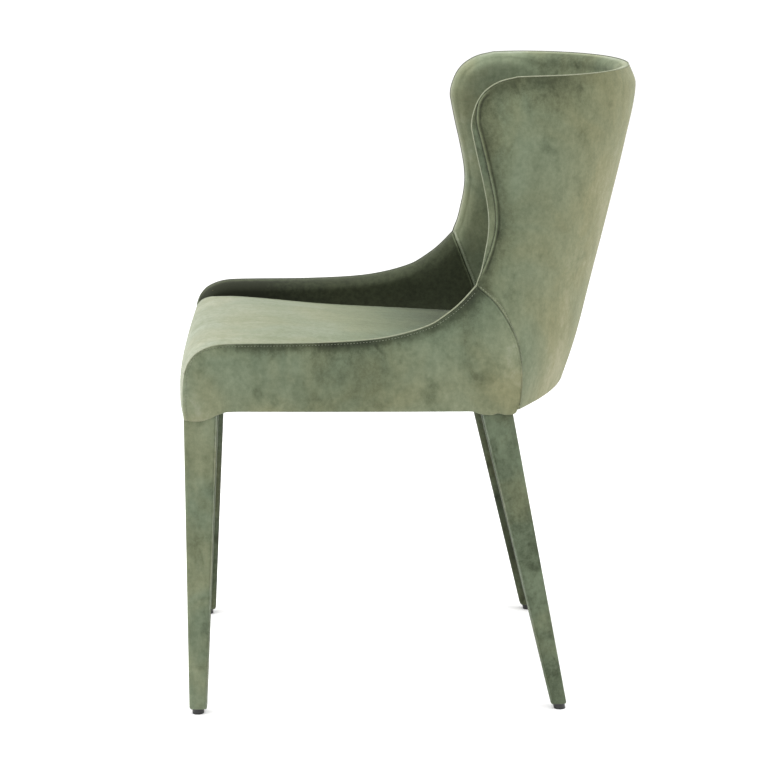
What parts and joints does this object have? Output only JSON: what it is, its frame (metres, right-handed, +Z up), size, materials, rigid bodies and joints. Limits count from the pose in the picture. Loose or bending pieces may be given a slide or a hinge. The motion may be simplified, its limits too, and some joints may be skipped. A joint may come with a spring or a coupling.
{
  "type": "upholstered dining chair",
  "caption": "Fully upholstered dining chair with a waisted wing back, low sloping arms, a crowned seat and tapered fabric-covered legs on plastic glides.",
  "frame": {"origin": "on the floor, at the middle of the chair's footprint box", "axes": "+Z up, the chair faces -Y, +X is the sitter's left"},
  "size_m": [0.472, 0.6288, 0.862],
  "materials": {
    "velvet": "matte",
    "velvet_lining": "matte",
    "foam": "matte",
    "plywood": "satin",
    "leg_steel": "satin",
    "zinc_bolt": "satin",
    "webbing": "matte",
    "dust_cloth": "matte",
    "glide_plastic": "satin"
  },
  "bodies": {
    "root": {"front_rail": "plywood", "rear_rail": "plywood", "left_side_rail": "plywood", "left_arm_panel": "plywood", "left_wing_post": "plywood", "left_side_cover": "velvet", "left_arm_facing": "velvet", "left_wing_facing": "velvet", "left_arm_lining": "velvet_lining", "left_arm_pad": "foam", "front_left_corner_block": "plywood", "front_left_leg_sleeve": "velvet", "front_left_leg_tube": "leg_steel", "front_left_leg_plate": "leg_steel", "front_left_leg_bolt": "zinc_bolt", "front_left_glide": "glide_plastic", "rear_left_corner_block": "plywood", "rear_left_leg_sleeve": "velvet", "rear_left_leg_tube": "leg_steel", "rear_left_leg_plate": "leg_steel", "rear_left_leg_bolt": "zinc_bolt", "rear_left_glide": "glide_plastic", "right_side_rail": "plywood", "right_arm_panel": "plywood", "right_wing_post": "plywood", "right_side_cover": "velvet", "right_arm_facing": "velvet", "right_wing_facing": "velvet", "right_arm_lining": "velvet_lining", "right_arm_pad": "foam", "front_right_corner_block": "plywood", "front_right_leg_sleeve": "velvet", "front_right_leg_tube": "leg_steel", "front_right_leg_plate": "leg_steel", "front_right_leg_bolt": "zinc_bolt", "front_right_glide": "glide_plastic", "rear_right_corner_block": "plywood", "rear_right_leg_sleeve": "velvet", "rear_right_leg_tube": "leg_steel", "rear_right_leg_plate": "leg_steel", "rear_right_leg_bolt": "zinc_bolt", "rear_right_glide": "glide_plastic", "back_bottom_rail": "plywood", "lumbar_rail": "plywood", "top_rail": "plywood", "seat_webbing_1": "webbing", "seat_webbing_2": "webbing", "seat_webbing_3": "webbing", "seat_webbing_4": "webbing", "back_webbing_left": "webbing", "back_webbing_middle": "webbing", "back_webbing_right": "webbing", "seat_foam": "foam", "back_foam": "foam", "outer_back_pad": "foam", "seat_cover": "velvet", "outer_back_cover": "velvet", "top_facing": "velvet", "back_lining": "velvet_lining", "dust_cover": "dust_cloth"}
  },
  "joints": []
}
